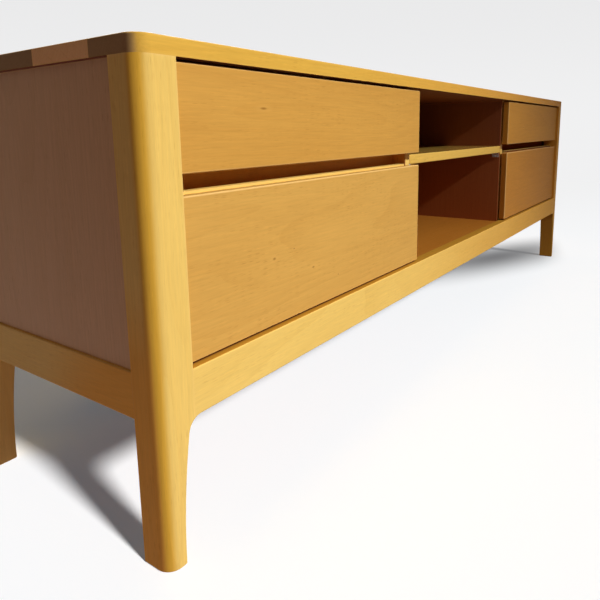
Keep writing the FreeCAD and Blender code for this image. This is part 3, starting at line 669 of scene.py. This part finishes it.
# Painted shade: the top's colour towards its right end.
red_shade_top_beech = woods((0.96, 0.475, 0.080), (0.85, 0.385, 0.057), (0.56, 0.230, 0.036))
shelf_beech = {**top_beech, **woods((0.84, 0.545, 0.115), (0.74, 0.445, 0.082), (0.48, 0.240, 0.036))}
top_end_beech = woods((1.0, 0.640, 0.260), (0.90, 0.540, 0.200), (0.70, 0.380, 0.120))
for board, look, right_look, shift, seed, polish in (
        ("top_panel", top_beech, red_shade_top_beech, 0.3, top_seed, top_polish),
        ("centre_shelf", shelf_beech, shelf_beech, 2.2, shelf_seed, shelf_polish)):
    tree, shader, figure = beech_board(board, along_x, glued_heart, shift, look)
    # Painted shade: redder towards the right end.
    other_face(tree, figure, to_the_right(tree), right_look)
    sawn = eased(tree, maths(tree, "ABSOLUTE", facing(tree, along_x)), sawn_start, sawn_full)
    other_face(tree, figure, sawn, top_end_beech)
    # Painted shade: dark on the faces that look down.
    other_face(tree, figure, turned_towards(tree, -along_z), dark_shade_beech)
    # Painted shade: over the drawer fronts the underside takes the lighter red shade instead of the dark
    # one.
    other_face(tree, figure, by_the_fronts(tree, -along_z), red_shade_beech)
    glue_up(tree, shader, figure, seed, look["Fleck Wood"])
    polish_above(tree, shader, *polish)


# Side panels
# Beech boards between the legs, standing on the side rails in grooves, with their grain upright.
# They are oiled like the frame.
side_beech = {
    **frame_beech, **woods((0.66, 0.410, 0.188), (0.57, 0.336, 0.139), (0.41, 0.220, 0.080)),
    "specular": 0.12,
}
panel_heart = (0.14, 0.03)
for panel, shift in (("side_panel_left", 0.0), ("side_panel_right", 1.0)):
    beech_board(panel, along_z, panel_heart, shift, side_beech)


# Inside of the carcass
# Dividers, bottom, drawer rails, cleats and a thin back screwed to the dividers: beech, red-brown on the
# bottom and cleats.
# In the bay a painted shade makes the dividers and the back's inner face dark red-brown, lighter on the
# dividers under the shelf, and the right drawer rail is painted dark as shade.
# The dividers' front edges and drawer sides and the back's outer face stay golden. The bottom is polished.
bay_beech = {
    **frame_beech, **woods((0.58, 0.224, 0.029), (0.48, 0.172, 0.021), (0.33, 0.108, 0.013)),
    "edge highlight wood": (0.70, 0.340, 0.100, 1.0), "specular": 0.10,
}
# Painted shade: the dark red-brown of the bay's faces.
divider_shade_beech = {
    **bay_beech, **woods((0.265, 0.086, 0.036), (0.22, 0.066, 0.027), (0.145, 0.043, 0.017)),
    "edge highlight wood": (0.46, 0.180, 0.065, 1.0), "edge highlight share": 0.20,
}
lower_divider_shade_beech = woods((0.40, 0.128, 0.040), (0.33, 0.100, 0.030), (0.22, 0.065, 0.019))
back_shade_beech = {**divider_shade_beech, **woods((0.18, 0.062, 0.032), (0.15, 0.048, 0.024), (0.145, 0.043, 0.017))}
rail_beech = {**bay_beech, **woods((0.92, 0.420, 0.100), (0.80, 0.340, 0.075), (0.33, 0.108, 0.013))}
# Painted shade: the right drawer rail, seen in the finger gap, is dark.
shaded_rail_beech = {
    **rail_beech, **woods((0.38, 0.105, 0.010), (0.32, 0.085, 0.008), (0.21, 0.055, 0.005)),
    "edge highlight share": 0.0, "specular": 0.0,
}
cleat_heart, drawer_rail_heart, thin_heart = (0.1, 0.1), (0.1, 0.03), (0.12, 0.12)
back_shift, bottom_shift = 1.5, 0.5
bottom_polish = (0.4, 0.10)
shelf_low, shelf_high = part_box("centre_shelf")
for panel, shift, drawer_side in (("divider_left", 2.0, -along_x), ("divider_right", 3.0, along_x)):
    # Painted shade: the dividers' bay faces are dark red-brown.
    tree, _, figure = beech_board(panel, along_z, panel_heart, shift, divider_shade_beech)
    level = put(tree, "SeparateXYZ", {0: own_place(tree)}).outputs["Z"]
    # Painted light: lighter below the shelf, where more light reaches.
    other_face(tree, figure, eased(tree, level, shelf_high[2], shelf_low[2]), lower_divider_shade_beech)
    other_face(tree, figure, turned_towards(tree, -along_y), frame_beech)
    other_face(tree, figure, turned_towards(tree, drawer_side), rail_beech)
for cleat, shift in (("left_runner_cleats", 0.5), ("right_runner_cleats", 1.5)):
    beech_board(cleat, along_y, cleat_heart, shift, bay_beech)
for rail, shift, look in (("drawer_rail_left", 0.6, rail_beech),
                          ("drawer_rail_right", 2.4, shaded_rail_beech)):
    beech_board(rail, along_x, drawer_rail_heart, shift, look)
# Painted shade: the back's inner face is dark; its outer face stays golden.
tree, _, figure = beech_board("back_panel", along_x, thin_heart, back_shift, back_shade_beech)
other_face(tree, figure, turned_towards(tree, along_y), side_beech)
tree, shader, _ = beech_board("bottom_panel", along_x, thin_heart, bottom_shift, bay_beech)
polish_above(tree, shader, *bottom_polish)


# Drawer fronts
# Beech boards with their grain along them, darker than the frame and with a few pin knots.
# They are applied to the boxes with screws from inside. The right ones are a little redder.
knot_edge, knot_core = 1.0, 0.2
knot_rim_start, knot_rim_full = 2.6, 1.2
knot_share, knot_rim_share = 0.70, 0.14
knot_wood = (0.30, 0.130, 0.022, 1.0)
knot_rim_wood = (0.80, 0.470, 0.130, 1.0)
front_heart, front_step = (0.16, 0.02), 0.7


def pin_knot():
    """A small knot: its distance is shortened along the grain and measured in sizes of the knot.

    The middle is dark, and the fibre that bends round it is paler.
    """
    made, given, left = shader_group(
        "pin_knot", {"Vector": "Vector", "Place": "Vector", "Shape": "Vector", "Size": "Float"},
        {"Dark": "Float", "Pale": "Float"})
    offset = vectors(made, "SUBTRACT", given["Vector"], given["Place"])
    length = measure(made, "LENGTH", vectors(made, "MULTIPLY", offset, given["Shape"]))
    far = maths(made, "DIVIDE", length, given["Size"])
    dark = eased(made, far, knot_edge, knot_core)
    rim = eased(made, far, knot_rim_start, knot_rim_full)
    made.links.new(dark, left["Dark"])
    made.links.new(maths(made, "MULTIPLY", rim, maths(made, "SUBTRACT", 1.0, dark)), left["Pale"])
    return made


knot = pin_knot()
front_beech = {
    **frame_beech, **woods((0.675, 0.366, 0.076), (0.58, 0.290, 0.054), (0.37, 0.165, 0.027)),
    "Fleck Share": 0.45, "Ring Width": 0.0042, "End Tone": 0.95,
    "edge highlight wood": (0.95, 0.660, 0.260, 1.0), "edge highlight share": 0.75,
}
lower_front_beech = {
    **front_beech, **woods((0.70, 0.405, 0.096), (0.60, 0.322, 0.068), (0.37, 0.165, 0.027))}
right_front_beech = {
    **front_beech, **woods((0.64, 0.300, 0.045), (0.55, 0.240, 0.032), (0.37, 0.165, 0.027))}
lower_right_front_beech = {
    **front_beech, **woods((0.61, 0.264, 0.036), (0.52, 0.212, 0.026), (0.37, 0.165, 0.027))}
front_looks = {
    "upper_left": front_beech, "lower_left": lower_front_beech,
    "upper_right": right_front_beech, "lower_right": lower_right_front_beech,
}
# Knots of each front: place along it, height, size, and how far it is drawn out along the grain
front_knots = {
    "upper_left": ((-0.7179, 0.4869, 0.0020, 4.0),),
    "lower_left": ((-0.7055, 0.3045, 0.0023, 1.8), (-0.6215, 0.2766, 0.0018, 2.2),
                   (-0.5579, 0.2523, 0.0014, 1.5), (-0.6644, 0.3101, 0.0011, 2.5)),
    "upper_right": ((0.4312, 0.4625, 0.0018, 2.5),),
    "lower_right": ((0.6420, 0.3310, 0.0020, 2.0), (0.3630, 0.2650, 0.0015, 2.2)),
}
front_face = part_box("upper_left_front")[0][1]
drawers = tuple(front_knots)
for number, drawer in enumerate(drawers):
    tree, shader, _ = beech_board(
        drawer + "_front", along_x, front_heart, front_step*number, front_looks[drawer])
    for x, z, size, drawn_out in front_knots[drawer]:
        mark = put(tree, "Group", {
            "Vector": own_place(tree), "Place": (x, front_face, z),
            "Shape": (1/drawn_out, 1.0, 1.0), "Size": size}, node_tree=knot).outputs
        over(tree, shader, maths(tree, "MULTIPLY", mark["Pale"], knot_rim_share), knot_rim_wood)
        over(tree, shader, maths(tree, "MULTIPLY", mark["Dark"], knot_share), knot_wood)


# Drawer boxes
# An inner front of golden beech covers the ends of two pale sides; the back stands between them.
# The thin plywood bottom lies loose in grooves all round.
# The right inner fronts carry a dark painted shade where the applied fronts cover them.
box_beech = {
    **frame_beech, **woods((0.78, 0.600, 0.360), (0.68, 0.490, 0.270), (0.52, 0.350, 0.190)),
    "edge highlight wood": (0.84, 0.680, 0.450, 1.0),
}
hidden_beech = {**frame_beech, "edge highlight share": 0.0}
box_heart = (0.12, 0.05)
inner_front_step, box_end_step, box_side_step = 0.9, 0.8, 1.1
for number, drawer in enumerate(drawers):
    hidden = drawer.endswith("right")
    tree, _, figure = beech_board(
        drawer + "_inner_front", along_x, box_heart, inner_front_step*number,
        hidden_beech if hidden else frame_beech)
    if hidden:
        # Painted shade: dark where the applied front covers the inner front.
        other_face(tree, figure, turned_towards(tree, -along_y), dark_shade_beech)
    for piece in ("_back", "_bottom"):
        beech_board(drawer + piece, along_x, box_heart, box_end_step*number, box_beech)
    for piece in ("_outer_side", "_inner_side"):
        beech_board(drawer + piece, along_y, box_heart, box_side_step*number, box_beech)


# Runners, supports and brackets
# Zinc plated sheet steel, rolled along its length, with a fine drawn grain and slight clouding.
# The runners are screwed to the cabinet and the boxes, the shelf supports stand on pins in the dividers,
# and the brackets hold the top down.
drawn_scale, drawn_detail = (900.0, 25.0, 900.0), 2.0
cloud_scale, cloud_detail = 60.0, 3.0
dull_zinc = (0.52, 0.53, 0.55, 1.0)
bright_zinc = (0.74, 0.75, 0.76, 1.0)
zinc_rough, drawn_rough = 0.20, 0.30
zinc = bpy.data.materials.new("zinc_plate")
tree = bare_tree(zinc)
shader = put(tree, "BsdfPrincipled", {"Metallic": 1.0})
drawn_place = put(tree, "Mapping", {"Vector": own_place(tree), "Scale": drawn_scale}).outputs[0]
drawn_grain = put(tree, "TexNoise", {
    "Vector": drawn_place, "Scale": 1.0, "Detail": drawn_detail}).outputs["Fac"]
clouding = put(tree, "TexNoise", {
    "Vector": own_place(tree), "Scale": cloud_scale, "Detail": cloud_detail}).outputs["Fac"]
tree.links.new(mixed(tree, clouding, dull_zinc, bright_zinc), shader.inputs["Base Color"])
tree.links.new(maths(tree, "MULTIPLY_ADD", drawn_grain, drawn_rough, zinc_rough), shader.inputs["Roughness"])
put(tree, "OutputMaterial", {"Surface": shader.outputs[0]})
steel = ["shelf_supports", "top_brackets", "left_cabinet_runners", "right_cabinet_runners"]
for drawer in drawers:
    steel += [drawer + piece for piece in ("_front_screws", "_drawer_runners", "_middle_runners")]
for node in steel:
    dress(node, zinc)


# Screw heads
# Domed zinc heads with a cross recess: over the fixings in the drawers' inner fronts, along the drawer
# runners, and in the back panel where it is screwed to the dividers.
head_rings, head_spokes = 22, 64
head_middle = 0.02
dome_roundness = 0.94
recess_width, recess_reach, recess_depth, recess_wall = 0.16, 0.62, 0.50, 0.06
front_head_radius, front_head_height = 0.0042, 0.0031
front_screw_margin = 0.024
box_bottom_rise = 0.010
runner_head_radius, runner_head_height = 0.0035, 0.0018
runner_head_count, runner_head_inset = 3, 0.030
runner_metal = 0.0012
back_head_radius, back_head_height = 0.0042, 0.0022
back_head_count, back_screw_margin = 4, 0.040


def screw_heads(name, places, towards, radius, height):
    """Domed heads at the given places, each a surface over the ring r and turn t.

    Outwards from the middle the dome falls as height times the root of 1 minus nearly r squared, then the
    underside runs back to the middle at height 0. A cross of two bars, |x| under the recess width and |y|
    under its reach and the same with x and y swapped, is sunk into the dome with soft walls.
    """
    side = towards.orthogonal().normalized()
    across = towards.cross(side)
    out = np.append(np.linspace(head_middle, 1.0, head_rings), head_middle)
    turn = np.arange(head_spokes)/head_spokes*2*math.pi
    r, t = np.meshgrid(out, turn, indexing="ij")
    x, y = r*np.cos(t), r*np.sin(t)
    dome = np.sqrt(np.clip(1 - dome_roundness*r*r, 0.0, 1.0))

    def within(value, limit):
        """1 inside the limit, 0 outside it, with a soft step between."""
        return np.clip((limit - np.abs(value))/recess_wall + 0.5, 0.0, 1.0)

    cross = np.maximum(within(x, recess_width)*within(y, recess_reach),
                       within(y, recess_width)*within(x, recess_reach))
    rise = (dome - recess_depth*cross)*height
    rise[-1] = 0.0
    local = (x[..., None]*radius*np.array(side) + y[..., None]*radius*np.array(across)
             + rise[..., None]*np.array(towards))
    points = (np.array(places)[:, None, None, :] + local[None]).reshape(-1, 3)
    number, quads = ring_quads(*r.shape)
    starts = np.arange(len(places))*number.size
    faces = (quads[None] + starts[:, None, None]).reshape(-1, 4).tolist()
    faces += (number[0][None] + starts[:, None]).tolist()
    faces += (number[-1][::-1][None] + starts[:, None]).tolist()
    made = surface(name, points, faces)
    made.data.materials.append(zinc)
    return made


for drawer in drawers:
    low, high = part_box(drawer + "_inner_front")
    outer_low, outer_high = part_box(drawer + "_outer_side")
    inner_low, inner_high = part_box(drawer + "_inner_side")
    left_wall = min(outer_high[0], inner_high[0])
    right_wall = max(outer_low[0], inner_low[0])
    columns = (left_wall + front_screw_margin, right_wall - front_screw_margin)
    rows = (low[2] + box_bottom_rise + front_screw_margin, high[2] - front_screw_margin)
    heads = screw_heads(drawer + "_screw_caps", [(x, high[1], z) for x in columns for z in rows],
                        along_y, front_head_radius, front_head_height)
    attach(heads, drawer + "_drawer")

    runner_low, runner_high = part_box(drawer + "_drawer_runners")
    middle = (runner_low[2] + runner_high[2])/2
    along = np.linspace(
        runner_low[1] + runner_head_inset, runner_high[1] - runner_head_inset, runner_head_count)
    box_low = min(outer_low[0], inner_low[0])
    box_high = max(outer_high[0], inner_high[0])
    for side, wall, outwards in (("left", box_low, -1), ("right", box_high, 1)):
        places = [(wall + outwards*runner_metal, y, middle) for y in along]
        heads = screw_heads(f"{drawer}_runner_screws_{side}", places,
                            along_x*outwards, runner_head_radius, runner_head_height)
        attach(heads, drawer + "_drawer")

back_low, back_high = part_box("back_panel")
divider_middles = [sum(corner[0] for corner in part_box(divider))/2
                   for divider in ("divider_left", "divider_right")]
levels = np.linspace(back_low[2] + back_screw_margin, back_high[2] - back_screw_margin, back_head_count)
heads = screw_heads("back_panel_screws", [(x, back_high[1], z) for x in divider_middles for z in levels],
                    along_y, back_head_radius, back_head_height)
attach(heads, "cabinet")
